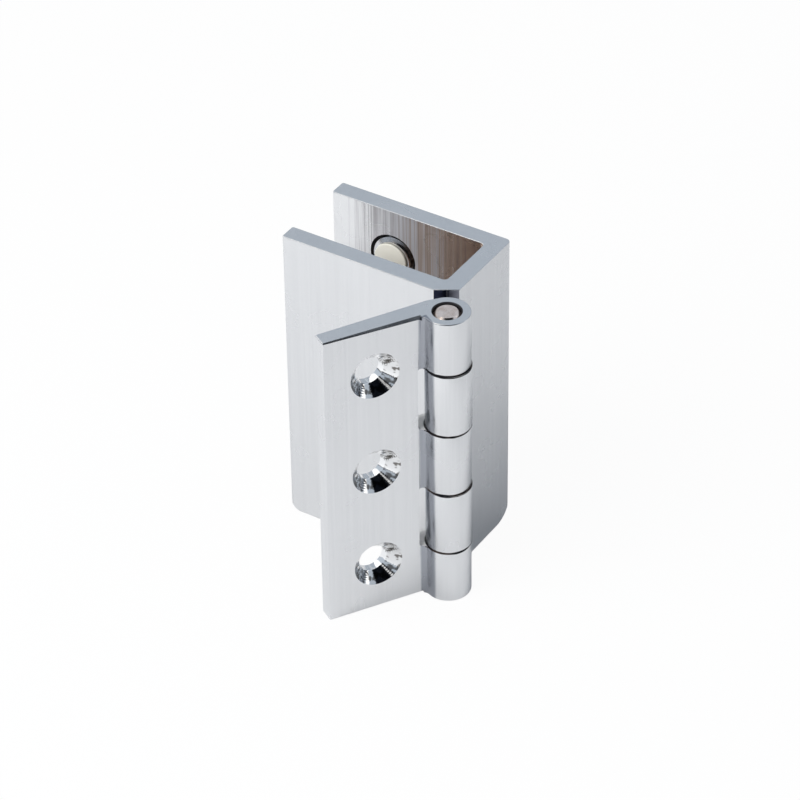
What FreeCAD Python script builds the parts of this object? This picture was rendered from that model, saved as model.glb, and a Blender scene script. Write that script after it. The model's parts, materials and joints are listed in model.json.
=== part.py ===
import FreeCAD, Part
import math
import os

from FreeCAD import Vector

# Glass door hinge: a channel leaf that clamps the edge of a glass panel, and a flat leaf that is
# screwed to the frame, joined by five knuckles on one pin. All sizes in millimetres.
# The origin is the centre of the middle screw hole, on the back face of the fixing leaf.
# The fixing leaf lies along X with its back face towards +Y, and the pin stands along Z.

# Whole hinge
hinge_height = 60.0
rest_angle = 59.5            # between the two leaves as modelled, in degrees

# Barrel and pin
barrel_radius = 4.1
end_knuckle = 10.8           # height of the top and bottom knuckles, the three others share the rest
knuckle_gap = 0.16           # between two knuckles, end face to end face
knuckle_step = 0.2           # the channel's knuckles stand this much off the centre of their bore
pin_diameter = 5.0
pin_running_clearance = 0.05     # on the radius, in the knuckles that turn
pin_fixed_clearance = 0.02       # on the radius, in the knuckles that hold the pin
pin_end_inset = 0.1          # each pin end lies this far inside the barrel
pin_end_chamfer = 0.6
bore_chamfer = 0.15

# Fixing leaf, measured from the pin's axis
leaf_reach = 22.6
leaf_tip_thickness = 3.0
leaf_root_thickness = 3.8
back_proud = 0.35            # the back face stands this far outside the barrel
lead_off = 1.6               # length of back face left before it runs off to the barrel
root_fillet = 1.2
notch_gap = 1.2              # between a channel knuckle and the leaf's notch round it
notch_corner = 0.6
leaf_edge_radius = 0.2
bevel_at_tip = 0.22          # the front face's bevel widens from the leaf's end to the barrel
bevel_at_root = 0.5
bevel_run_on = 0.7           # how far the bevel goes on past the start of the root fillet

# Screw holes in the fixing leaf
screw_row_reach = 13.4
screw_inset = 9.6            # first and last hole, from the leaf's ends
screw_count = 3
screw_hole_diameter = 5.2
countersink_diameter = 9.0
countersink_half_angle = 45.0

# Channel for the glass
wall_thickness = 3.4
web_thickness = 3.4
slot_width = 12.6
channel_depth = 34.5
web_offset = 1.4             # the web's outer face lies this far short of the pin's axis
corner_flat_gap = 2.05       # from the fixing leaf's knuckles to the flat milled on the channel's corner
corner_flat_angle = 30.0     # between that flat and the near wall
neck_fillet = 0.8
slot_corner_radius = 0.8
far_corner_radius = 1.0
end_edge_radius = 0.4
channel_edge_radius = 0.12
mouth_foot_radius = 2.2      # the lower corners are rounded off, at the open end
back_foot_radius = 3.0       # and across the corner of the web and the far wall

# Clamping screws with their plastic tips
clamp_hole_diameter = 8.0
clamp_hole_chamfer = 0.6
clamp_screw_clearance = 0.05     # on the radius
clamp_screw_length = 6.0
clamp_screw_proud = 0.5      # how far the screw's end stands inside the slot
clamp_end_chamfer = 0.35
clamp_end_inset = 12.4       # from the channel's open end
clamp_inset = 9.6            # from the channel's upper and lower end
socket_across_flats = 4.0
socket_depth = 2.6
tip_diameter = 5.8
tip_running_clearance = 0.05     # on the radius
tip_seat_depth = 2.0
tip_end_gap = 0.05           # between the tip and the floor of its seat
tip_proud = 0.45             # how far the tip stands out of the screw
tip_edge_chamfer = 0.3

# Worked out from the sizes above
half_height = hinge_height / 2
middle_knuckle = (hinge_height - 2 * end_knuckle) / 3
leaf_back = barrel_radius + back_proud
pin_place = Vector(screw_row_reach, -leaf_back, 0)
corner_flat_offset = barrel_radius + corner_flat_gap
near_face = barrel_radius                    # the near wall's outer face is tangent to the barrel
slot_near = near_face + wall_thickness
slot_far = slot_near + slot_width
far_face = slot_far + wall_thickness
web_face = -web_offset
open_end = web_face - channel_depth
screw_pitch = (hinge_height - 2 * screw_inset) / (screw_count - 1)
clamp_level = half_height - clamp_inset
channel_knuckles = [                         # lowest and highest level of each channel knuckle
    (-half_height + end_knuckle, -half_height + end_knuckle + middle_knuckle),
    (half_height - end_knuckle - middle_knuckle, half_height - end_knuckle),
]
past = 1.0                                   # how far a cutting tool runs past the metal


def prism(edges, low, high):
    """Solid between two levels from the edges of a closed outline drawn at level 0."""
    face = Part.Face(Part.Wire(Part.__sortEdges__(edges)))
    face.translate(Vector(0, 0, low))
    return face.extrude(Vector(0, 0, high - low))


def line(start, end):
    return Part.LineSegment(start, end).toShape()


def arc(start, middle, end):
    return Part.Arc(start, middle, end).toShape()


def block(x_low, x_high, y_low, y_high, z_low, z_high):
    corner = Vector(x_low, y_low, z_low)
    return Part.makeBox(x_high - x_low, y_high - y_low, z_high - z_low, corner)


def on_circle(centre, radius, degrees):
    angle = math.radians(degrees)
    return centre + Vector(radius * math.cos(angle), radius * math.sin(angle), 0)


def arc_between(centre, radius, start, end):
    """Short arc of a known circle between two points on it."""
    halfway = (start + end) * 0.5 - centre
    return arc(start, centre + halfway.normalize() * radius, end)


def end_edges(solid):
    """Edges of the outline at the lower and upper end of an extruded piece."""
    found = []
    for edge in solid.Edges:
        box = edge.BoundBox
        flat = box.ZLength < 1e-6
        if flat and abs(abs(box.ZMin) - half_height) < 1e-6:
            found.append(edge)
    return found


def upright_edges(solid, places):
    """Edges along Z that stand at the given plan points."""
    found = []
    for edge in solid.Edges:
        box = edge.BoundBox
        upright = box.XLength < 1e-6 and box.YLength < 1e-6
        if upright and any(math.hypot(box.XMin - x, box.YMin - y) < 1e-4 for x, y in places):
            found.append(edge)
    return found


def bore_tool(radius):
    """Cutter for one bore along the whole barrel, with a small chamfer at both ends."""
    tool = Part.makeCylinder(radius, hinge_height + 2 * past, Vector(0, 0, -half_height - past))
    reach = bore_chamfer + past
    for side in (-1, 1):
        start = Vector(0, 0, side * (half_height - bore_chamfer))
        cone = Part.makeCone(radius, radius + reach, reach, start, Vector(0, 0, side))
        tool = tool.fuse(cone)
    return tool


def leaf_blank():
    """The fixing leaf before it is notched and drilled: barrel, root and tapered plate."""
    tip_back = Vector(-leaf_reach, leaf_back, 0)
    tip_front = Vector(-leaf_reach, leaf_back - leaf_tip_thickness, 0)
    root_front = Vector(-barrel_radius - notch_gap, leaf_back - leaf_root_thickness, 0)
    along = (root_front - tip_front).normalize()
    outwards = Vector(along.y, -along.x, 0)

    # The root fillet touches the front face and the barrel.
    start = tip_front + outwards * root_fillet
    reach = barrel_radius + root_fillet
    across = start.dot(along)
    step = -across - math.sqrt(across ** 2 - start.dot(start) + reach ** 2)
    fillet_centre = start + along * step
    on_face = fillet_centre - outwards * root_fillet
    on_barrel = fillet_centre * (barrel_radius / reach)

    # The back face runs off to the barrel along a tangent.
    back_end = Vector(-lead_off, leaf_back, 0)
    back_angle = math.degrees(math.atan2(back_end.y, back_end.x))
    turn = math.degrees(math.acos(barrel_radius / back_end.Length))
    run_off = on_circle(Vector(), barrel_radius, back_angle - turn)

    outline = [
        line(tip_back, tip_front),
        line(tip_front, on_face),
        arc_between(fillet_centre, root_fillet, on_face, on_barrel),
        arc(on_barrel, on_circle(Vector(), barrel_radius, -45), run_off),
        line(run_off, back_end),
        line(back_end, tip_back),
    ]
    blank = prism(outline, -half_height, half_height)
    corners = upright_edges(blank, [(p.x, p.y) for p in (tip_back, tip_front)])
    blank = blank.makeFillet(leaf_edge_radius, corners)
    blank = blank.makeFillet(leaf_edge_radius, end_edges(blank))
    return blank.cut(front_bevels(tip_front, on_face + along * bevel_run_on, outwards))


def front_bevels(tip_front, root_front, outwards):
    """Cutters for the bevel along the front face's upper and lower edge."""
    cutters = []
    for side in (-1, 1):
        sections = []
        for foot, width in ((tip_front, bevel_at_tip), (root_front, bevel_at_root)):
            edge = foot + Vector(0, 0, side * half_height)
            beyond = Vector(0, 0, side * past)
            low = edge - Vector(0, 0, side * width) + outwards * past - beyond
            high = edge - outwards * (width + past) + beyond
            outer = edge + outwards * past + beyond
            sections.append(Part.makePolygon([low, high, outer, low]))
        cutters.append(Part.makeLoft(sections, True, True))
    return cutters


def notch(low, high):
    """Cutter for one notch, with the corner radius that the milling cutter leaves."""
    inner = -barrel_radius - notch_gap
    tool = block(inner, barrel_radius + past, -barrel_radius - past, leaf_back + past, low, high)
    corners = []
    for edge in tool.Edges:
        box = edge.BoundBox
        if box.XLength < 1e-6 and box.ZLength < 1e-6 and abs(box.XMin - inner) < 1e-6:
            corners.append(edge)
    return tool.makeFillet(notch_corner, corners)


def screw_hole(level):
    """Cutter for one countersunk screw hole."""
    x = -screw_row_reach
    share = (leaf_reach - screw_row_reach) / (leaf_reach - barrel_radius - notch_gap)
    thickness = leaf_tip_thickness + share * (leaf_root_thickness - leaf_tip_thickness)
    front = leaf_back - thickness
    hole = Part.makeCylinder(
        screw_hole_diameter / 2, thickness + 2 * past, Vector(x, front - past, level), Vector(0, 1, 0)
    )
    slope = math.tan(math.radians(countersink_half_angle))
    depth = (countersink_diameter - screw_hole_diameter) / 2 / slope
    cone = Part.makeCone(
        countersink_diameter / 2 + past * slope, screw_hole_diameter / 2, depth + past,
        Vector(x, front - past, level), Vector(0, 1, 0)
    )
    return hole.fuse(cone)


def fixing_leaf():
    """Flat leaf with the first, third and fifth knuckle and a row of countersunk holes."""
    leaf = leaf_blank()
    cutters = [bore_tool(pin_diameter / 2 + pin_fixed_clearance)]
    for low, high in channel_knuckles:
        cutters.append(notch(low - knuckle_gap / 2, high + knuckle_gap / 2))
    for number in range(screw_count):
        cutters.append(screw_hole((number - (screw_count - 1) / 2) * screw_pitch))
    return leaf.cut(cutters)


def corner_mill(low, high):
    """Cutter that leaves the flat on the channel's corner beside a knuckle of the fixing leaf."""
    angle = math.radians(corner_flat_angle)
    outwards = Vector(-math.sin(angle), math.cos(angle), 0)
    along = Vector(outwards.y, -outwards.x, 0)
    size = 2 * corner_flat_offset
    foot = outwards * corner_flat_offset
    corners = [
        foot - along * size, foot + along * size,
        foot + along * size - outwards * size, foot - along * size - outwards * size,
    ]
    sides = [line(corners[i - 1], corners[i]) for i in range(4)]
    return prism(sides, low, high)


def foot_corner(outwards, corner, radius):
    """Cutter that rounds the lower edge of what ends at a plan point, in the given direction."""
    across = Vector(-outwards.y, outwards.x, 0)
    length = 2 * (channel_depth + far_face)
    centre = corner - outwards * radius + Vector(0, 0, radius - half_height)
    out = outwards * (radius + past)
    down = Vector(0, 0, -radius - past)
    square = Part.Face(Part.makePolygon([centre, centre + out, centre + out + down, centre + down, centre]))
    square.translate(across * (-length / 2))
    round_bar = Part.makeCylinder(radius, 2 * length, centre - across * length, across)
    return square.extrude(across * length).cut(round_bar)


def channel_body():
    """The U-shaped channel without its knuckles."""
    body = block(open_end, web_face, near_face, far_face, -half_height, half_height)
    slot_floor = web_face - web_thickness
    slot = block(open_end - past, slot_floor, slot_near, slot_far, -half_height - past, half_height + past)
    slot_corners = [(slot_floor, slot_near), (slot_floor, slot_far)]
    slot = slot.makeFillet(slot_corner_radius, upright_edges(slot, slot_corners))
    body = body.cut(slot)

    body = body.makeFillet(far_corner_radius, upright_edges(body, [(web_face, far_face)]))
    ends = [(open_end, y) for y in (near_face, slot_near, slot_far, far_face)]
    body = body.makeFillet(end_edge_radius, upright_edges(body, ends))

    levels = [-half_height - past]
    for low, high in channel_knuckles:
        levels += [low + knuckle_gap / 2, high - knuckle_gap / 2]
    levels.append(half_height + past)
    body = body.cut([corner_mill(levels[i], levels[i + 1]) for i in range(0, len(levels), 2)])
    body = body.makeFillet(channel_edge_radius, end_edges(body))

    diagonal = Vector(1, 1, 0).normalize()
    back_corner = Vector(web_face, far_face, 0) - diagonal * (math.sqrt(2) - 1) * far_corner_radius
    feet = [
        foot_corner(Vector(-1, 0, 0), Vector(open_end, 0, 0), mouth_foot_radius),
        foot_corner(diagonal, back_corner, back_foot_radius),
    ]
    return body.cut(feet)


def channel_knuckle(low, high):
    """One knuckle with the neck that joins it to the channel's corner."""
    centre = Vector(knuckle_step, 0, 0)
    reach = barrel_radius + neck_fillet
    near_reach = 2 * math.sqrt(barrel_radius * neck_fillet)
    near_centre = centre + Vector(-near_reach, barrel_radius - neck_fillet, 0)
    near_touch = Vector(near_centre.x, near_face, 0)
    web_side = web_face + neck_fillet
    web_centre = Vector(web_side, math.sqrt(reach ** 2 - (web_side - centre.x) ** 2), 0)
    web_touch = Vector(web_face, web_centre.y, 0)
    near_barrel = centre + (near_centre - centre) * (barrel_radius / reach)
    web_barrel = centre + (web_centre - centre) * (barrel_radius / reach)
    inside = Vector(near_touch.x, web_touch.y, 0)
    outline = [
        arc_between(near_centre, neck_fillet, near_touch, near_barrel),
        arc(near_barrel, on_circle(centre, barrel_radius, -60), web_barrel),
        arc_between(web_centre, neck_fillet, web_barrel, web_touch),
        line(web_touch, inside),
        line(inside, near_touch),
    ]
    return prism(outline, low + knuckle_gap / 2, high - knuckle_gap / 2)


def clamp_hole(level):
    """Cutter for one tapped hole through the far wall, cut at the thread's major diameter."""
    x = open_end + clamp_end_inset
    radius = clamp_hole_diameter / 2
    tool = Part.makeCylinder(
        radius, wall_thickness + 2 * past, Vector(x, slot_far - past, level), Vector(0, 1, 0)
    )
    reach = clamp_hole_chamfer + past
    for face, side in ((slot_far, -1), (far_face, 1)):
        start = Vector(x, face - side * clamp_hole_chamfer, level)
        tool = tool.fuse(Part.makeCone(radius, radius + reach, reach, start, Vector(0, side, 0)))
    return tool


def channel_leaf():
    """Channel with the second and fourth knuckle and the tapped holes in its far wall."""
    leaf = channel_body()
    for low, high in channel_knuckles:
        leaf = leaf.fuse(channel_knuckle(low, high))
    leaf = leaf.removeSplitter()
    cutters = [bore_tool(pin_diameter / 2 + pin_running_clearance)]
    for level in (-clamp_level, clamp_level):
        cutters.append(clamp_hole(level))
    return leaf.cut(cutters)


def hinge_pin():
    """Straight pin with chamfered ends."""
    length = hinge_height - 2 * pin_end_inset
    pin = Part.makeCylinder(pin_diameter / 2, length, Vector(0, 0, -length / 2))
    rims = [edge for edge in pin.Edges if edge.BoundBox.ZLength < 1e-6]
    return pin.makeChamfer(pin_end_chamfer, rims)


def clamp_screw(level):
    """Grub screw: hexagon socket in its outer end, seat for the plastic tip in its inner end."""
    x = open_end + clamp_end_inset
    inner = slot_far - clamp_screw_proud
    outer = inner + clamp_screw_length
    radius = clamp_hole_diameter / 2 - clamp_screw_clearance
    screw = Part.makeCylinder(radius, clamp_screw_length, Vector(x, inner, level), Vector(0, 1, 0))
    rims = [edge for edge in screw.Edges if edge.BoundBox.YLength < 1e-6]
    screw = screw.makeChamfer(clamp_end_chamfer, rims)

    corner = socket_across_flats / math.sqrt(3)
    points = []
    for number in range(7):
        angle = math.radians(60 * number)
        points.append(Vector(x + corner * math.cos(angle), outer + past, level + corner * math.sin(angle)))
    socket = Part.Face(Part.makePolygon(points)).extrude(Vector(0, -socket_depth - past, 0))
    seat = Part.makeCylinder(
        tip_diameter / 2 + tip_running_clearance, tip_seat_depth + past,
        Vector(x, inner - past, level), Vector(0, 1, 0)
    )
    return screw.cut([socket, seat])


def screw_tip(level):
    """Plastic plug in the screw's inner end, which bears on the glass."""
    x = open_end + clamp_end_inset
    inner = slot_far - clamp_screw_proud - tip_proud
    length = tip_proud + tip_seat_depth - tip_end_gap
    tip = Part.makeCylinder(tip_diameter / 2, length, Vector(x, inner, level), Vector(0, 1, 0))
    rim = [edge for edge in tip.Edges if abs(edge.BoundBox.YMax - inner) < 1e-6]
    return tip.makeChamfer(tip_edge_chamfer, rim)


def beside_pin(shape):
    """Moves a shape drawn round the pin's axis to the pin's place."""
    shape.translate(pin_place)
    return shape


def at_rest_angle(shape):
    """Turns a shape of the channel side to its resting angle, then moves it to the pin."""
    shape.rotate(Vector(), Vector(0, 0, 1), -rest_angle)
    return beside_pin(shape)


pieces = {
    "fixing_leaf": beside_pin(fixing_leaf()),
    "hinge_pin": beside_pin(hinge_pin()),
    "channel_leaf": at_rest_angle(channel_leaf()),
}
for place, side in (("upper", 1), ("lower", -1)):
    pieces["clamp_screw_" + place] = at_rest_angle(clamp_screw(side * clamp_level))
    pieces["screw_tip_" + place] = at_rest_angle(screw_tip(side * clamp_level))

os.makedirs("parts", exist_ok=True)
for name, shape in pieces.items():
    solid = shape.Solids[0]
    solid.exportStep("parts/" + name + ".step")
    box = solid.BoundBox
    print(name, "solids", len(shape.Solids), "valid", solid.isValid(), "volume", round(solid.Volume, 1))
    print("   box", [round(v, 2) for v in (box.XMin, box.XMax, box.YMin, box.YMax, box.ZMin, box.ZMax)])
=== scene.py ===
import json
import math

import bpy
from mathutils import Matrix, Vector


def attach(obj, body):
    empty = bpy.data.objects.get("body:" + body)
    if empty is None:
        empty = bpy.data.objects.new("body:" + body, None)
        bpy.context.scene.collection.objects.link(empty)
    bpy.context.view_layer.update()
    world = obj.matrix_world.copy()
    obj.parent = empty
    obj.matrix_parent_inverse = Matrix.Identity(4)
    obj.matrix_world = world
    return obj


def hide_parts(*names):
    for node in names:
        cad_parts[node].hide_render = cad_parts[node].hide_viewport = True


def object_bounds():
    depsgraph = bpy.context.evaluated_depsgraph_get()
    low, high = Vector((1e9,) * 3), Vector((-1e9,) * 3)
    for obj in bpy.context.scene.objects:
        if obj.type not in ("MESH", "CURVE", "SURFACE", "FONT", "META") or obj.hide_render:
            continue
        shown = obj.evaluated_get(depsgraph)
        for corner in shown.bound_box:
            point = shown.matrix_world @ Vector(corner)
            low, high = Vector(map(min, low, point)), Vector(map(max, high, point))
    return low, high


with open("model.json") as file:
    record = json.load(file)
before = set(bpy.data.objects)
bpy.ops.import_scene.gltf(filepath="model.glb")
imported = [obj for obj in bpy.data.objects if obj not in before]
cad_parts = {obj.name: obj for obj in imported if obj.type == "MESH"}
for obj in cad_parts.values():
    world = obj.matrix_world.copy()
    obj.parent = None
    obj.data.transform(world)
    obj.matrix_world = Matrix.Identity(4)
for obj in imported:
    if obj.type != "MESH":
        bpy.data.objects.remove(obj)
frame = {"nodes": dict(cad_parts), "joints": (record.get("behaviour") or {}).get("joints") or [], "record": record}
cad_low, cad_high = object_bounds()
mm = 0.001
bpy.ops.object.select_all(action="DESELECT")


# Camera
# It looks down on the hinge from in front and slightly from the left, from some way off, so that
# the upright edges stay nearly parallel. It leans a little, as the photograph does.
look_at = Vector((6.182, -0.780, 11.462)) * mm
look_back = Vector((-0.3616, -0.7112, 0.6030)).normalized()
camera_distance = 650 * mm
camera_lean = math.radians(-0.797)

camera_data = bpy.data.cameras.new("studio_camera")
camera_data.sensor_width = 36
camera_data.lens = 171.7
camera_data.clip_start = 0.01
camera_data.clip_end = 20
camera = bpy.data.objects.new("studio_camera", camera_data)
bpy.context.scene.collection.objects.link(camera)
camera_turn = look_back.to_track_quat("Z", "Y").to_matrix() @ Matrix.Rotation(camera_lean, 3, "Z")
camera_place = Matrix.Translation(look_at + look_back * camera_distance)
camera.matrix_world = camera_place @ camera_turn.to_4x4()
bpy.context.scene.camera = camera


# Studio
# A pale table under the hinge, a soft lamp at the upper left, and a surround that the metal
# reflects: grey blue with a few pale panels, dark in front and below, and white to the camera.
bpy.context.scene.view_settings.view_transform = "Standard"
white = (1, 1, 1, 1)
table_size = 0.70
table_colour = (0.90, 0.90, 0.90, 1)
table_whitened = 0.95
lamp_towards = Vector((-0.74, -0.05, 0.66)).normalized()
lamp_distance = 0.80
lamp_size = 0.70
lamp_power = 7.3
surround_colour = (0.475, 0.530, 0.600, 1)
below_colour = (0.06, 0.06, 0.07, 1)
horizon = (-0.03, 0.00)
fill_colour = (0.36, 0.38, 0.41, 1)

# Each panel has the way to its middle, the angles from there at which it starts to fade and has
# faded, in degrees, and its colour. A later panel covers an earlier one.
ceiling = ((-0.10, 0.42, 0.90), 14, 20, (0.80, 0.80, 0.80, 1))
softbox_glow = ((-0.55, 0.10, 0.83), 9, 13, (3.00, 2.85, 2.60, 1))
back_wall = ((-0.20, 0.75, 0.63), 18, 28, (1.20, 1.20, 1.20, 1))
dark_front = ((-0.15, -0.71, 0.66), 33, 37, (0.004, 0.005, 0.008, 1))
small_card = ((-0.54, -0.69, 0.47), 3, 6, (0.90, 0.90, 0.90, 1))
right_card = ((0.84, -0.40, 0.37), 5, 10, (1.60, 1.60, 1.60, 1))


def new_tree(owner):
    """Empties a material's or the world's node tree and returns it."""
    owner.use_nodes = True
    owner.node_tree.nodes.clear()
    return owner.node_tree


def node(tree, kind, values=None, **settings):
    """Adds one node, with its own settings and with a value or a link for each input named."""
    made = tree.nodes.new(kind)
    for name, value in settings.items():
        setattr(made, name, value)
    for name, value in (values or {}).items():
        if isinstance(value, bpy.types.NodeSocket):
            tree.links.new(value, made.inputs[name])
        else:
            made.inputs[name].default_value = value
    return made


def calculate(tree, operation, first, second=0.0):
    """Works out one sum of two values."""
    return node(tree, "ShaderNodeMath", {0: first, 1: second}, operation=operation).outputs[0]


def blend_colours(tree, share, first, second):
    """Mixes two colours by a share and returns the colour that comes out."""
    return node(tree, "ShaderNodeMix", {0: share, 6: first, 7: second}, data_type="RGBA").outputs[2]


def ramp(tree, value, low, high, to_low=0.0, to_high=1.0):
    """Eases a value's stretch from low to high over to another stretch, and stays at its ends."""
    eased = node(tree, "ShaderNodeMapRange", {
        "Value": value, "From Min": low, "From Max": high, "To Min": to_low, "To Max": to_high,
    }, interpolation_type="SMOOTHSTEP")
    return eased.outputs["Result"]


def along(tree, place, direction, start=0.0):
    """Measures how far a place lies along a direction, from a start."""
    reached = node(tree, "ShaderNodeVectorMath", {0: place, 1: direction}, operation="DOT_PRODUCT")
    return calculate(tree, "SUBTRACT", reached.outputs["Value"], start)


world = bpy.data.worlds.new("studio_surround")
bpy.context.scene.world = world
tree = new_tree(world)
looking = node(tree, "ShaderNodeTexCoord").outputs["Generated"]
surround = node(tree, "ShaderNodeRGB").outputs[0]
surround.default_value = surround_colour
for towards, inner, outer, colour in (ceiling, softbox_glow, back_wall, dark_front, small_card, right_card):
    nearness = along(tree, looking, Vector(towards).normalized())
    share = ramp(tree, nearness, math.cos(math.radians(outer)), math.cos(math.radians(inner)))
    surround = blend_colours(tree, share, surround, colour)
is_below = ramp(tree, along(tree, looking, (0, 0, 1)), *horizon, 1, 0)
surround = blend_colours(tree, is_below, surround, below_colour)

# Only reflections show the surround. What is matt is lit by a plain fill, and by the lamp.
ray = node(tree, "ShaderNodeLightPath").outputs
seen = blend_colours(tree, ray["Is Glossy Ray"], fill_colour, surround)
lighting = node(tree, "ShaderNodeBackground", {"Color": seen, "Strength": 1.0})
backdrop = node(tree, "ShaderNodeBackground", {"Color": white, "Strength": 1.0})
shown = node(tree, "ShaderNodeMixShader", {
    0: ray["Is Camera Ray"], 1: lighting.outputs[0], 2: backdrop.outputs[0]})
node(tree, "ShaderNodeOutputWorld", {"Surface": shown.outputs[0]})

bpy.ops.mesh.primitive_plane_add(size=table_size, location=(0, 0, cad_low.z))
table = bpy.context.object
table.name = "studio_table"
table_finish = bpy.data.materials.new("pale_table")
tree = new_tree(table_finish)
matt = node(tree, "ShaderNodeBsdfDiffuse", {"Color": table_colour})
glowing = node(tree, "ShaderNodeEmission", {"Color": white, "Strength": 1.0})
ray = node(tree, "ShaderNodeLightPath").outputs
whitened = calculate(tree, "MULTIPLY", ray["Is Camera Ray"], table_whitened)
shown = node(tree, "ShaderNodeMixShader", {0: whitened, 1: matt.outputs[0], 2: glowing.outputs[0]})
node(tree, "ShaderNodeOutputMaterial", {"Surface": shown.outputs[0]})
table.data.materials.append(table_finish)

lamp_data = bpy.data.lights.new("left_softbox", "AREA")
lamp_data.shape = "SQUARE"
lamp_data.size = lamp_size
lamp_data.energy = lamp_power
lamp = bpy.data.objects.new("left_softbox", lamp_data)
bpy.context.scene.collection.objects.link(lamp)
lamp.visible_glossy = False
aimed = lamp_towards.to_track_quat("Z", "Y").to_matrix().to_4x4()
lamp.matrix_world = Matrix.Translation(lamp_towards * lamp_distance) @ aimed


# Fixing leaf
# A drawn brass section with three of the knuckles, cut to length, notched, drilled and
# countersunk, then satin chrome plated. Only the countersinks keep a mirror finish.
mounts = {mount["name"]: mount for mount in frame["record"]["mounts"]}
joints = {joint["name"]: joint for joint in frame["joints"]}
outer_hole = mounts["screw_row"]["dims"]["spacing_y_mm"] / 2 * mm
hole_radius = mounts["screw_row"]["dims"]["hole_r_mm"] * mm
hole_levels = (-outer_hole, 0, outer_hole)
countersink_radius = 4.55 * mm
countersink_root = -1.525 * mm           # where the cone ends in the hole, along Y
pin_axis = Vector(joints["leaf_swing"]["pos_m"])
bore_reach = 2.75 * mm                   # just past the bores, from the pin's axis
milled_reach = 9.0 * mm                  # past all that is milled beside the knuckles
end_knuckle = 10.8 * mm                  # height of the top and the bottom knuckle
knuckle_height = (cad_high.z - cad_low.z - 2 * end_knuckle) / 3


def new_finish(name):
    """Starts a material and returns it with its empty node tree."""
    finish = bpy.data.materials.new(name)
    return finish, new_tree(finish)


def lay_finish(tree, values):
    """Ends a material with one surface that has these values and links."""
    surface = node(tree, "ShaderNodeBsdfPrincipled", values)
    node(tree, "ShaderNodeOutputMaterial", {"Surface": surface.outputs[0]})


def place_on_piece(tree):
    """Gives the place on the piece, in the hinge's own frame."""
    return node(tree, "ShaderNodeTexCoord").outputs["Object"]


def noise(tree, place, scale, detail=2, roughness=0.5):
    """Gives a soft random pattern between 0 and 1, with that many swells to a metre."""
    return node(tree, "ShaderNodeTexNoise", {
        "Vector": place, "Scale": scale, "Detail": detail, "Roughness": roughness}).outputs["Fac"]


def tint(tree, pattern, stretch, shades):
    """Goes from one colour to another over a stretch of a pattern."""
    return blend_colours(tree, ramp(tree, pattern, *stretch), *shades)


def roughen(tree, pattern, roughness):
    """Goes from one roughness to another over the middle of a pattern."""
    return ramp(tree, pattern, 0.3, 0.7, *roughness)


def raised(tree, height, distance, strength):
    """Bends the surface's normal as if a pattern stood out of it by a distance."""
    return node(tree, "ShaderNodeBump", {
        "Height": height, "Distance": distance, "Strength": strength}).outputs[0]


def reach_in(tree, plane, place):
    """Measures how far a place lies from the origin in a plane, such as (1, 1, 0)."""
    flat = node(tree, "ShaderNodeVectorMath", {0: place, 1: plane}, operation="MULTIPLY").outputs[0]
    return node(tree, "ShaderNodeVectorMath", {0: flat}, operation="LENGTH").outputs["Value"]


def from_pin(tree, place, aside=0.0):
    """Measures how far a place lies from the pin's axis, or from a line that far to its right."""
    centre = pin_axis + Vector((aside, 0, 0))
    return reach_in(tree, (1, 1, 0), node(tree, "ShaderNodeMapping", {
        "Vector": place, "Location": -centre}).outputs[0])


# The drawing die leaves fine lines along the height, and the plating clouds a little.
line_stretch = (1, 1, 0.012)
fine_lines = 3600
broad_lines = 900
broad_share = 0.45
cloud_scale = 110
line_relief = 0.03 * mm
drawn_lines = bpy.data.node_groups.new("drawn_lines", "ShaderNodeTree")
for name, kind, way in (
    ("Strength", "NodeSocketFloat", "INPUT"),
    ("Lines", "NodeSocketFloat", "OUTPUT"),
    ("Clouds", "NodeSocketFloat", "OUTPUT"),
    ("Normal", "NodeSocketVector", "OUTPUT"),
):
    drawn_lines.interface.new_socket(name, in_out=way, socket_type=kind)
line_strength = node(drawn_lines, "NodeGroupInput").outputs["Strength"]
place = place_on_piece(drawn_lines)
drawn_out = node(drawn_lines, "ShaderNodeMapping", {"Vector": place, "Scale": line_stretch}).outputs[0]
lines = node(drawn_lines, "ShaderNodeMix", {
    0: broad_share,
    2: noise(drawn_lines, drawn_out, fine_lines, roughness=0.6),
    3: noise(drawn_lines, drawn_out, broad_lines),
}, data_type="FLOAT").outputs[0]
node(drawn_lines, "NodeGroupOutput", {
    "Lines": lines,
    "Clouds": noise(drawn_lines, place, cloud_scale, detail=3),
    "Normal": raised(drawn_lines, lines, line_relief, line_strength),
})


def drawn_surface(tree, strength):
    """Places the drawing lines in a material, with lines of that strength."""
    drawn = tree.nodes.new("ShaderNodeGroup")
    drawn.node_tree = drawn_lines
    drawn.inputs["Strength"].default_value = strength
    return drawn.outputs


# Where each look of the plating, and each painted shade, starts or ends, as the stretch over which it fades. The
# barrel's edge is measured all round the pin's axis, the joints' from the joint between two knuckles, and
# the others from the pin's axis towards the leaf's end or towards its front.
barrel_edge = (4.35 * mm, 4.45 * mm)
root_start = (3.45 * mm, 3.75 * mm)
root_end = (4.9 * mm, 5.3 * mm)
root_front = (-0.9 * mm, -0.6 * mm)
turned_in_side = (2.0 * mm, 3.0 * mm)
turned_in_front = (0.10 * mm, 0.60 * mm)
joint_edge = (0.24 * mm, 0.32 * mm)
joint_waver = 0.06 * mm
knuckle_fade = 0.1 * mm
satin_lines = 0.25
plate_shades = ((0.745, 0.748, 0.755, 1), (0.795, 0.798, 0.803, 1))
plate_roughness = (0.19, 0.29)
painted_root_shade = (0.14, 0.16, 0.21, 1)
painted_root_share = 0.65
painted_turned_in_shade = (0.20, 0.22, 0.26, 1)
painted_turned_in_share = 0.92
painted_shade_scale = 260
painted_joint_shades = ((0.008, 0.008, 0.010, 1), (0.080, 0.050, 0.035, 1))

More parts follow.
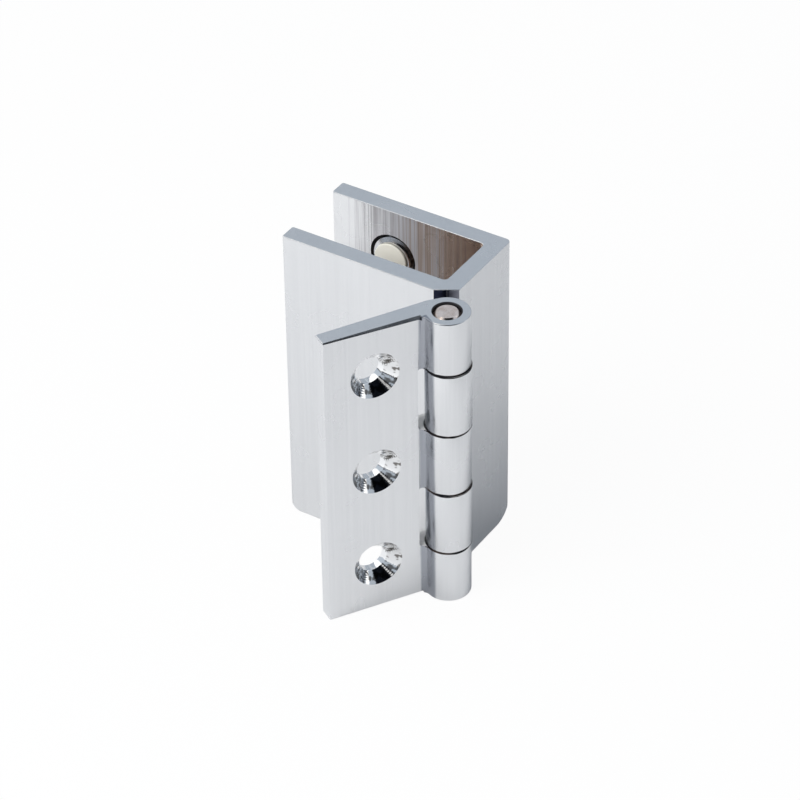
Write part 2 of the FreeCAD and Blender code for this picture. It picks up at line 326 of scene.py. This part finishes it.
satin_chrome, tree = new_finish("satin_chrome")
drawn = drawn_surface(tree, satin_lines)
place = place_on_piece(tree)
to_leaf = along(tree, place, (-1, 0, 0), -pin_axis.x)
to_front = along(tree, place, (0, -1, 0), -pin_axis.y)
on_barrel = ramp(tree, from_pin(tree, place), *barrel_edge, 1, 0)
level = calculate(tree, "ABSOLUTE", along(tree, place, (0, 0, 1)))
off_knuckle = calculate(tree, "ABSOLUTE", calculate(tree, "SUBTRACT", level, knuckle_height))
off_joint = calculate(tree, "ABSOLUTE", calculate(tree, "SUBTRACT", off_knuckle, knuckle_height / 2))
plate = tint(tree, drawn["Lines"], (0.25, 0.75), plate_shades)

# Painted shade: the colour is darkened in the root between barrel and plate, as a dark reflection would darken it.
in_root = calculate(tree, "MULTIPLY", ramp(tree, to_leaf, *root_start), ramp(tree, to_leaf, *root_end, 1, 0))
painted_root_mask = calculate(tree, "MULTIPLY", in_root, ramp(tree, to_front, *root_front, 0, painted_root_share))
plate = blend_colours(tree, painted_root_mask, plate, painted_root_shade)

# Painted shade: the side of the channel's knuckles that turns in the leaf's notches is darkened, as the dark
# reflection of the gap there would darken it.
on_channel = ramp(tree, off_knuckle, knuckle_height / 2 - knuckle_fade, knuckle_height / 2, 1, 0)
painted_turned_in_mask = calculate(tree, "MULTIPLY", ramp(tree, to_front, *turned_in_front, painted_turned_in_share, 0),
                      ramp(tree, to_leaf, *turned_in_side))
painted_turned_in_mask = calculate(tree, "MULTIPLY", painted_turned_in_mask, calculate(tree, "MULTIPLY", on_channel, on_barrel))
plate = blend_colours(tree, painted_turned_in_mask, plate, painted_turned_in_shade)

# Painted shade along the joints between the knuckles: a dark, matt line that wavers a little, with a brown tinge
# in places.
joint_pattern = noise(tree, place, painted_shade_scale)
wavering = ramp(tree, joint_pattern, 0.35, 0.65, -joint_waver, joint_waver)
near_joint = ramp(tree, calculate(tree, "ADD", off_joint, wavering), *joint_edge, 1, 0)
painted_joint_mask = calculate(tree, "MULTIPLY", near_joint, on_barrel)
painted_joint_shade = tint(tree, joint_pattern, (0.45, 0.65), painted_joint_shades)
lay_finish(tree, {
    "Base Color": blend_colours(tree, painted_joint_mask, plate, painted_joint_shade),
    "Metallic": calculate(tree, "SUBTRACT", 1.0, painted_joint_mask),
    "Roughness": calculate(tree, "MAXIMUM", roughen(tree, drawn["Clouds"], plate_roughness), painted_joint_mask),
    "Normal": drawn["Normal"],
})

# The countersinks keep the rings of the tool that cut them. The dark arcs that run round them are painted
# reflections.
painted_reflection_shades = ((0.20, 0.19, 0.18, 1), (0.82, 0.82, 0.82, 1))
reflection_arcs_round = 3.5
reflection_arcs_outwards = 700
bore_shade = (0.98, 0.98, 0.98, 1)
bore_edge = (hole_radius + 0.05 * mm, hole_radius + 0.15 * mm)
bright_roughness = (0.05, 0.12)
ring_relief = 0.022 * mm
bright_chrome, tree = new_finish("bright_chrome")
place = place_on_piece(tree)
split = node(tree, "ShaderNodeSeparateXYZ", {0: place}).outputs
from_level = node(tree, "ShaderNodeMath", {
    0: split["Z"], 1: outer_hole / 2, 2: -outer_hole / 2}, operation="WRAP").outputs[0]
in_hole = node(tree, "ShaderNodeCombineXYZ", {0: split["X"], 1: split["Y"], 2: from_level}).outputs[0]
from_middle = reach_in(tree, (1, 0, 1), in_hole)
turning = node(tree, "ShaderNodeTexWave", {
    "Vector": in_hole, "Scale": 1000, "Distortion": 1.0, "Detail": 1, "Detail Scale": 2,
}, wave_type="RINGS", rings_direction="Y", wave_profile="SIN")
bearing = calculate(tree, "ARCTAN2", split["X"], from_level)
round_hole = node(tree, "ShaderNodeCombineXYZ", {
    0: calculate(tree, "MULTIPLY", bearing, reflection_arcs_round),
    1: calculate(tree, "MULTIPLY", from_middle, reflection_arcs_outwards),
    2: split["Z"],
}).outputs[0]
painted_reflections = tint(tree, noise(tree, round_hole, 1.0, roughness=0.6), (0.38, 0.50), painted_reflection_shades)
in_bore = ramp(tree, from_middle, *bore_edge, 1, 0)
lay_finish(tree, {
    "Base Color": blend_colours(tree, in_bore, painted_reflections, bore_shade),
    "Metallic": 1.0,
    "Roughness": roughen(tree, noise(tree, place, 500), bright_roughness),
    "Normal": raised(tree, turning.outputs["Fac"], ring_relief, 0.30),
})

# The pin's bores, and the milled faces between the knuckles as far as the barrel, are painted dark as painted
# shade of the bores and gaps, oily brown in places. Beyond the barrel the milled faces are matt.
milled_shade = (0.95, 0.95, 0.94, 1)
milled_metallic = 0.3
gap_painted_shades = ((0.012, 0.012, 0.015, 1), (0.060, 0.035, 0.025, 1))
painted_gap_edge = (4.20 * mm, 4.26 * mm)
painted_gap_aside = 0.1 * mm
milled_shaded_joint, tree = new_finish("milled_joint_with_painted_shade")
place = place_on_piece(tree)
gap_painted_shade = tint(tree, noise(tree, place, painted_shade_scale), (0.5, 0.65), gap_painted_shades)
painted_gap_mask = ramp(tree, from_pin(tree, place, painted_gap_aside), *painted_gap_edge, 1, 0)
lay_finish(tree, {
    "Base Color": blend_colours(tree, painted_gap_mask, milled_shade, gap_painted_shade),
    "Metallic": ramp(tree, painted_gap_mask, 0, 1, milled_metallic, 0),
    "Roughness": 0.5,
})

weld_reach = 0.0005 * mm
recut = 0.006 * mm                       # what the fine cutters take off the CAD mesh
leaf_ease = 0.06 * mm
level_angle = math.radians(0.5)
sharp_angle = math.radians(50)
smooth_angle = math.radians(30)
broad_face = 20 * mm * mm                # a face with more area than this is shaded flat
facing = 0.9                             # a normal's share of a direction that a face looks along
truly_facing = 0.999


def pick(piece):
    """Makes a piece the only one that is selected and active."""
    bpy.ops.object.select_all(action="DESELECT")
    piece.select_set(True)
    bpy.context.view_layer.objects.active = piece


def apply_place(piece):
    """Moves a piece's place, turn and size into its mesh."""
    pick(piece)
    bpy.ops.object.transform_apply(location=True, rotation=True, scale=True)


def shape_by(piece, cutter, operation):
    """Cuts, trims or joins a piece by another, and deletes the other."""
    apply_place(cutter)
    cut = piece.modifiers.new("shaped", "BOOLEAN")
    cut.operation = operation
    cut.object = cutter
    cut.solver = "EXACT"
    pick(piece)
    bpy.ops.object.modifier_apply(modifier=cut.name)
    bpy.data.objects.remove(cutter)


def ease_edges(piece, width, segments, angle):
    """Bevels a piece's edges that are sharper than an angle."""
    eased = piece.modifiers.new("eased_edges", "BEVEL")
    eased.width = width
    eased.segments = segments
    eased.limit_method = "ANGLE"
    eased.angle_limit = angle
    bpy.ops.object.modifier_apply(modifier=eased.name)


def smooth_copy(node_name, piece_name, ease, cutters=()):
    """Copies a CAD node, joins its triangles, cuts it, and eases its sharp edges. Its curved
    faces are shaded smooth, and its broad and its level faces flat."""
    mesh = frame["nodes"][node_name].data.copy()
    mesh.name = piece_name
    mesh.materials.clear()
    piece = bpy.data.objects.new(piece_name, mesh)
    bpy.context.scene.collection.objects.link(piece)
    pick(piece)
    if mesh.has_custom_normals:
        bpy.ops.mesh.customdata_custom_splitnormals_clear()
    bpy.ops.object.mode_set(mode="EDIT")
    bpy.ops.mesh.select_all(action="SELECT")
    bpy.ops.mesh.remove_doubles(threshold=weld_reach)
    bpy.ops.object.mode_set(mode="OBJECT")
    for cutter in cutters:
        shape_by(piece, cutter, "DIFFERENCE")
    bpy.ops.object.mode_set(mode="EDIT")
    bpy.ops.mesh.select_all(action="SELECT")
    if cutters:
        bpy.ops.mesh.remove_doubles(threshold=2 * recut)
    bpy.ops.mesh.dissolve_limited(angle_limit=level_angle)
    bpy.ops.mesh.select_all(action="DESELECT")
    bpy.ops.object.mode_set(mode="OBJECT")
    ease_edges(piece, ease, 2, sharp_angle)
    bpy.ops.object.shade_smooth_by_angle(angle=smooth_angle)
    for face in piece.data.polygons:
        if face.area > broad_face or abs(face.normal.z) > truly_facing:
            face.use_smooth = False
    return piece


def joint_faces(piece, index):
    """Gives the bores for the pin, and the milled faces beside the knuckles, that finish."""
    for face in piece.data.polygons:
        aside = math.hypot(face.center.x - pin_axis.x, face.center.y - pin_axis.y)
        inside = cad_low.z + mm < face.center.z < cad_high.z - mm
        is_level = abs(face.normal.z) > facing
        if (aside < bore_reach and not is_level) or (aside < milled_reach and is_level and inside):
            face.material_index = index


def countersink_cutter(level):
    """Makes a fine round cutter, a hair larger than one countersunk hole of the CAD mesh."""
    sides = 96
    cone_size = 8 * mm
    cutter_length = 20 * mm
    apex = countersink_root + hole_radius + recut
    towards_back = (math.radians(-90), 0, 0)
    bpy.ops.mesh.primitive_cylinder_add(
        vertices=sides, radius=hole_radius + recut, depth=cutter_length,
        location=(0, 0, level), rotation=towards_back)
    hole = bpy.context.object
    bpy.ops.mesh.primitive_cone_add(
        vertices=sides, radius1=cone_size, radius2=0, depth=cone_size,
        location=(0, apex - cone_size / 2, level), rotation=towards_back)
    cone = bpy.context.object
    apply_place(hole)
    shape_by(hole, cone, "UNION")
    return hole


leaf = smooth_copy("fixing_leaf", "drilled_leaf", leaf_ease, [countersink_cutter(z) for z in hole_levels])
leaf_finishes = (satin_chrome, bright_chrome, milled_shaded_joint)
for finish in leaf_finishes:
    leaf.data.materials.append(finish)
for face in leaf.data.polygons:
    beside = min(math.hypot(face.center.x, face.center.z - level) for level in hole_levels)
    if beside < countersink_radius and abs(face.normal.y) < facing:
        face.material_index = leaf_finishes.index(bright_chrome)
joint_faces(leaf, leaf_finishes.index(milled_shaded_joint))
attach(leaf, "fixing_side")
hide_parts("fixing_leaf")


# Hinge pin
# Turned steel, driven through all five knuckles. Its ends are chamfered and lightly tarnished,
# and they show the rings that the turning tool left.
pin_ease = 0.15 * mm
pin_shades = ((1.00, 0.86, 0.78, 1), (0.75, 0.62, 0.55, 1))
pin_roughness = (0.16, 0.30)
pin_relief = 0.01 * mm
pin_steel, tree = new_finish("turned_steel")
place = place_on_piece(tree)
centred = node(tree, "ShaderNodeMapping", {
    "Vector": place, "Location": -pin_axis, "Scale": (1, 1, 0)}).outputs[0]
turning = node(tree, "ShaderNodeTexWave", {
    "Vector": centred, "Scale": 900, "Distortion": 0.6, "Detail": 1,
}, wave_type="RINGS", rings_direction="SPHERICAL", wave_profile="SIN")
tarnish = noise(tree, place, 700, detail=3)
lay_finish(tree, {
    "Base Color": tint(tree, tarnish, (0.35, 0.7), pin_shades),
    "Metallic": 1.0,
    "Roughness": roughen(tree, tarnish, pin_roughness),
    "Normal": raised(tree, turning.outputs["Fac"], pin_relief, 0.3),
})
pin = smooth_copy("hinge_pin", "turned_pin", pin_ease)
pin.data.materials.append(pin_steel)
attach(pin, "fixing_side")
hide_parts("hinge_pin")


# Channel leaf
# The second drawn section, a deep channel with two knuckles, in the same satin chrome. The
# plating is thin inside the slot, so the drawing lines show there and the brass warms it.
clamp_feeds = {side: joints["clamp_feed_" + side] for side in ("upper", "lower")}
clamp_points = [Vector(feed["pos_m"]) for feed in clamp_feeds.values()]
slot_floor = Vector(mounts["glass_stop"]["pos_m"])
to_mouth = Vector(mounts["glass_stop"]["axis"])
slot_side = Vector(mounts["glass_seat"]["pos_m"])
to_far_wall = Vector(mounts["glass_seat"]["axis"])
slot_width = (clamp_points[0] - slot_side).dot(to_far_wall)
slot_margin = 0.05 * mm
tapped_reach = 4.75 * mm                 # past the tapped holes' chamfers, from their axes
channel_ease = 0.05 * mm
corner_flat_angle = math.radians(30)     # between the near wall and the flat on the corner
corner_faces = Matrix.Rotation(corner_flat_angle, 3, "Z") @ -to_far_wall
corner_along = Vector((-corner_faces.y, corner_faces.x, 0))
corner_start = Vector((14.29, 2.11, 0)) * mm     # on the flat's edge at the near wall
corner_reach = 5 * mm                    # the flat lies further than this behind the pin's axis
corner_facing = 0.998
upright_facing = 0.3

# Depths are measured from the slot's floor, each as the stretch over which a look fades.
streak_reach = 6 * mm
brass_depth = (7 * mm, 17 * mm)
bare_depth = (3 * mm, 9 * mm)
plated_depth = (18 * mm, 27 * mm)
lined_depth = (24 * mm, 28 * mm)
brass_shades = ((0.70, 0.54, 0.43, 1), (0.70, 0.69, 0.71, 1))
bare_shade = (0.72, 0.46, 0.26, 1)
bare_share = 0.8
plated_shade = (0.84, 0.84, 0.84, 1)
line_shade = (0.27, 0.25, 0.25, 1)
line_share = 0.55
slot_lines = 0.6
slot_roughness = (0.24, 0.36)

slot_chrome, tree = new_finish("thin_plate_in_slot")
drawn = drawn_surface(tree, slot_lines)
depth = along(tree, place_on_piece(tree), to_mouth, slot_floor.dot(to_mouth))
streaks = ramp(tree, drawn["Lines"], 0.30, 0.70, -streak_reach, streak_reach)
uneven = calculate(tree, "ADD", depth, streaks)
warmed = tint(tree, uneven, brass_depth, brass_shades)
bare = calculate(tree, "MULTIPLY", ramp(tree, drawn["Clouds"], 0.50, 0.60),
                 ramp(tree, depth, *bare_depth, bare_share, 0))
warmed = blend_colours(tree, bare, warmed, bare_shade)
plated = blend_colours(tree, ramp(tree, uneven, *plated_depth), warmed, plated_shade)
lined = calculate(tree, "MULTIPLY", ramp(tree, depth, *lined_depth, line_share, 0),
                  ramp(tree, drawn["Lines"], 0.3, 0.6, 1, 0))
lay_finish(tree, {
    "Base Color": blend_colours(tree, lined, plated, line_shade),
    "Metallic": 1.0,
    "Roughness": roughen(tree, drawn["Clouds"], slot_roughness),
    "Normal": drawn["Normal"],
})

# Painted shade in the tapped holes of the far wall: their walls and chamfers are nearly black, as the gap round
# each screw is in shade.
tapped_hole_painted_shade, tree = new_finish("tapped_hole_painted_shade")
lay_finish(tree, {"Base Color": (0.020, 0.020, 0.022, 1), "Metallic": 0.6, "Roughness": 0.35})

# Painted shade on the flat at the channel's corner: dark from its edge at the near wall, and paler beyond, with a
# wavering border.
painted_flat_shades = ((0.030, 0.035, 0.065, 1), (0.330, 0.330, 0.380, 1))
flat_change = (2.2 * mm, 3.0 * mm)
flat_waver = 0.6 * mm
painted_corner_flat, tree = new_finish("painted_shade_on_corner_flat")
drawn = drawn_surface(tree, satin_lines)
over_flat = along(tree, place_on_piece(tree), corner_along, corner_start.dot(corner_along))
wavering = ramp(tree, drawn["Lines"], 0.30, 0.70, -flat_waver, flat_waver)
over_flat = calculate(tree, "ADD", over_flat, wavering)
lay_finish(tree, {
    "Base Color": tint(tree, over_flat, flat_change, painted_flat_shades),
    "Metallic": 1.0,
    "Roughness": 0.3,
    "Normal": drawn["Normal"],
})

channel = smooth_copy("channel_leaf", "glass_channel", channel_ease)
channel_finishes = (satin_chrome, slot_chrome, milled_shaded_joint, tapped_hole_painted_shade, painted_corner_flat)
for finish in channel_finishes:
    channel.data.materials.append(finish)
for face in channel.data.polygons:
    across = (face.center - slot_side).dot(to_far_wall)
    inwards = (face.center - slot_floor).dot(to_mouth)
    is_upright = abs(face.normal.z) < upright_facing
    if -slot_margin < across < slot_width + slot_margin and inwards > -slot_margin and is_upright:
        face.material_index = channel_finishes.index(slot_chrome)
    for point in clamp_points:
        offset = face.center - point
        aside = (offset - to_far_wall * offset.dot(to_far_wall)).length
        if aside < tapped_reach and abs(face.normal.dot(to_far_wall)) < facing:
            face.material_index = channel_finishes.index(tapped_hole_painted_shade)
    behind_pin = -(face.center - pin_axis).dot(corner_faces)
    if face.normal.dot(corner_faces) > corner_facing and behind_pin > corner_reach:
        face.material_index = channel_finishes.index(painted_corner_flat)
joint_faces(channel, channel_finishes.index(milled_shaded_joint))
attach(channel, "channel_side")
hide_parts("channel_leaf")


# Clamp screws
# Two M8 grub screws that run in the tapped holes of the far wall and press the glass against
# the near wall. Each has a hexagon socket outside and a bored seat for its tip inside.
pitch = 1.25 * mm
thread_depth = 0.77 * mm
crest_width = 0.16 * mm
root_width = 0.30 * mm
turn_steps = 64
screw_weld = 0.001 * mm
cut_tolerance = 0.0001 * mm
envelope_gap = 0.01 * mm                 # the chamfered envelope lies this far outside the thread
envelope_spare = 0.002 * mm              # and its length is this much more than the thread's
screw_chamfer = 0.35 * mm
chamfer_angle = math.radians(60)
seat_radius = 2.95 * mm
seat_depth = 2.0 * mm
seat_sides = 48
socket_across_flats = 4 * mm
socket_depth = 2.6 * mm
screw_shades = ((0.60, 0.60, 0.61, 1), (0.70, 0.69, 0.68, 1))
screw_roughness = (0.16, 0.28)

screw_steel, tree = new_finish("plated_screw_steel")
patches = noise(tree, place_on_piece(tree), 600, detail=3)
lay_finish(tree, {
    "Base Color": tint(tree, patches, (0.35, 0.65), screw_shades),
    "Metallic": 1.0,
    "Roughness": roughen(tree, patches, screw_roughness),
})


def grub_screw(name, radius, length):
    """Makes a threaded screw that stands on its seat end at the origin."""
    root = radius - thread_depth
    middle = pitch / 2
    outline = (
        (root, 0),
        (root, root_width / 2),
        (radius, middle - crest_width / 2),
        (radius, middle + crest_width / 2),
        (root, pitch - root_width / 2),
        (root, pitch),
    )
    corners = [(x, 0, z - 2 * pitch) for x, z in outline]
    mesh = bpy.data.meshes.new(name)
    mesh.from_pydata(corners, [(i, i + 1) for i in range(len(corners) - 1)], [])
    screw = bpy.data.objects.new(name, mesh)
    bpy.context.scene.collection.objects.link(screw)
    pick(screw)
    helix = screw.modifiers.new("thread", "SCREW")
    helix.screw_offset = pitch
    helix.iterations = math.ceil(length / pitch) + 3
    helix.steps = turn_steps
    helix.render_steps = turn_steps
    helix.use_merge_vertices = True
    helix.merge_threshold = screw_weld
    bpy.ops.object.modifier_apply(modifier=helix.name)
    bpy.ops.object.mode_set(mode="EDIT")
    bpy.ops.mesh.select_all(action="SELECT")
    bpy.ops.mesh.remove_doubles(threshold=screw_weld)
    for level, away in ((length, 1), (0, -1)):
        bpy.ops.mesh.select_all(action="SELECT")
        bpy.ops.mesh.bisect(
            plane_co=(0, 0, level), plane_no=(0, 0, away), use_fill=True, clear_outer=True,
            threshold=cut_tolerance)
    bpy.ops.mesh.select_all(action="SELECT")
    bpy.ops.mesh.normals_make_consistent(inside=False)
    bpy.ops.object.mode_set(mode="OBJECT")

    bpy.ops.mesh.primitive_cylinder_add(
        vertices=turn_steps, radius=radius + envelope_gap, depth=length + envelope_spare,
        location=(0, 0, length / 2))
    envelope = bpy.context.object
    ease_edges(envelope, screw_chamfer, 1, chamfer_angle)
    shape_by(screw, envelope, "INTERSECT")
    bpy.ops.mesh.primitive_cylinder_add(vertices=seat_sides, radius=seat_radius, depth=seat_depth * 2)
    shape_by(screw, bpy.context.object, "DIFFERENCE")
    bpy.ops.mesh.primitive_cylinder_add(
        vertices=6, radius=socket_across_flats / math.sqrt(3), depth=socket_depth * 2,
        location=(0, 0, length))
    shape_by(screw, bpy.context.object, "DIFFERENCE")
    return screw


def measure_round(node_name, point, way):
    """Measures a round CAD node from a point on its axis: its two ends along it and its radius."""
    offsets = [vertex.co - point for vertex in frame["nodes"][node_name].data.vertices]
    reached = [offset.dot(way) for offset in offsets]
    radius = max((offset - way * offset.dot(way)).length for offset in offsets)
    return min(reached), max(reached), radius


def stand(piece, point, way):
    """Stands a piece that was made at the origin on a point, along a direction."""
    turned = way.to_track_quat("Z", "Y").to_matrix().to_4x4()
    piece.matrix_world = Matrix.Translation(point) @ turned
    apply_place(piece)
    bpy.ops.object.shade_smooth_by_angle(angle=smooth_angle)


for side, feed in clamp_feeds.items():
    point = Vector(feed["pos_m"])
    outwards = -Vector(feed["axis"])
    inner_end, outer_end, radius = measure_round("clamp_screw_" + side, point, outwards)
    screw = grub_screw("grub_screw_" + side, radius, outer_end - inner_end)
    stand(screw, point + outwards * inner_end, outwards)
    screw.data.materials.clear()
    screw.data.materials.append(screw_steel)
    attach(screw, "screw_" + side)
    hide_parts("clamp_screw_" + side)


# Screw tips
# Cream nylon plugs pressed into the seats of the grub screws, so that steel doesn't bear on
# the glass. Their edges are rounded by moulding, and the head is slightly wider than the plug.
head_radius = 3.2 * mm
head_height = 0.45 * mm
head_round = 0.16 * mm
tip_sides = 64
nylon_shades = ((0.92, 0.89, 0.77, 1), (0.96, 0.93, 0.83, 1))

nylon, tree = new_finish("cream_nylon")
mottle = noise(tree, place_on_piece(tree), 900)
lay_finish(tree, {"Base Color": blend_colours(tree, mottle, *nylon_shades), "Roughness": 0.4})


def nylon_tip(name, radius, head_start, back):
    """Makes a tip that stands on its back end, with a slightly wider head that stands proud."""
    bpy.ops.mesh.primitive_cylinder_add(
        vertices=tip_sides, radius=radius, depth=head_start - back,
        location=(0, 0, (head_start + back) / 2))
    tip = bpy.context.object
    tip.name = name
    apply_place(tip)
    bpy.ops.object.mode_set(mode="EDIT")
    bpy.ops.mesh.select_all(action="DESELECT")
    bpy.ops.object.mode_set(mode="OBJECT")
    for face in tip.data.polygons:
        face.select = face.normal.z > facing
    widened = head_radius / radius
    bpy.ops.object.mode_set(mode="EDIT")
    bpy.ops.mesh.extrude_region()
    bpy.ops.transform.resize(value=(widened, widened, 1), center_override=(0, 0, 0))
    bpy.ops.mesh.extrude_region_move(TRANSFORM_OT_translate={"value": (0, 0, head_height)})
    bpy.ops.object.mode_set(mode="OBJECT")
    ease_edges(tip, head_round, 4, chamfer_angle)
    return tip


for side, feed in clamp_feeds.items():
    point = Vector(feed["pos_m"])
    inwards = Vector(feed["axis"])
    back, front, radius = measure_round("screw_tip_" + side, point, inwards)
    tip = nylon_tip("nylon_tip_" + side, radius, front - head_height, back)
    stand(tip, point, inwards)
    tip.data.materials.append(nylon)
    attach(tip, "tip_" + side)
    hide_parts("screw_tip_" + side)
